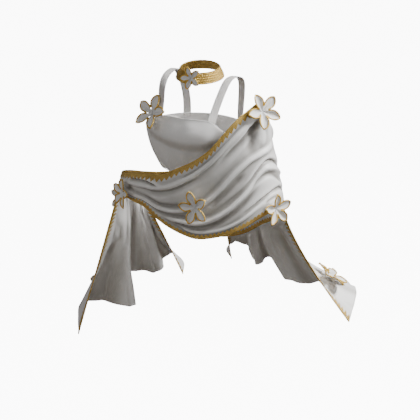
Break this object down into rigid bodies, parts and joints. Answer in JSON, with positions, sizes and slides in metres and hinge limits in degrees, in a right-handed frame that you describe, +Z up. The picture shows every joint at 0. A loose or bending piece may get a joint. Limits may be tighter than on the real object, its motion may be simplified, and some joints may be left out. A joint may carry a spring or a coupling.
{
  "type": "goddess costume top",
  "caption": "Strapped white satin bandeau with gold choker, a one-shoulder draped sash with gathered hip tails, gold edge braids and satin flowers, worn form.",
  "frame": {"origin": "middle of the shoulder line, level with the top of the two straps, where the wearer's shoulders hold the top up", "axes": "+Z up, -Y is the wearer's front, +X is the wearer's left"},
  "size_m": [0.72, 0.4351, 0.7303],
  "materials": {
    "satin": "white satin with a soft sheen",
    "petal_satin": "white satin petals with a thin gold rim",
    "ribbed_tape": "fine ribbed strap tape",
    "gold_braid": "gold metallic-thread braid with pointed edge",
    "gold_choker": "diagonal braided gold band"
  },
  "bodies": {
    "root": {"bodice_back": "satin", "bodice_front": "satin", "choker_band": "gold_choker", "flower_chest": "petal_satin", "flower_hip_left": "petal_satin", "flower_hip_rear": "petal_satin", "flower_hip_right": "petal_satin", "flower_neck": "petal_satin", "flower_shoulder": "petal_satin", "flower_tail_left": "petal_satin", "flower_tail_right": "petal_satin", "flower_waist": "petal_satin", "sash_back": "satin", "sash_front": "satin", "sash_low_trim_back": "gold_braid", "sash_low_trim_front": "gold_braid", "sash_top_trim_back": "gold_braid", "sash_top_trim_front": "gold_braid", "strap_left": "ribbed_tape", "strap_right": "ribbed_tape", "tail_left": "satin", "tail_left_trim_back": "gold_braid", "tail_left_trim_front": "gold_braid", "tail_right": "satin", "tail_right_trim_back": "gold_braid", "tail_right_trim_front": "gold_braid"}
  },
  "joints": []
}
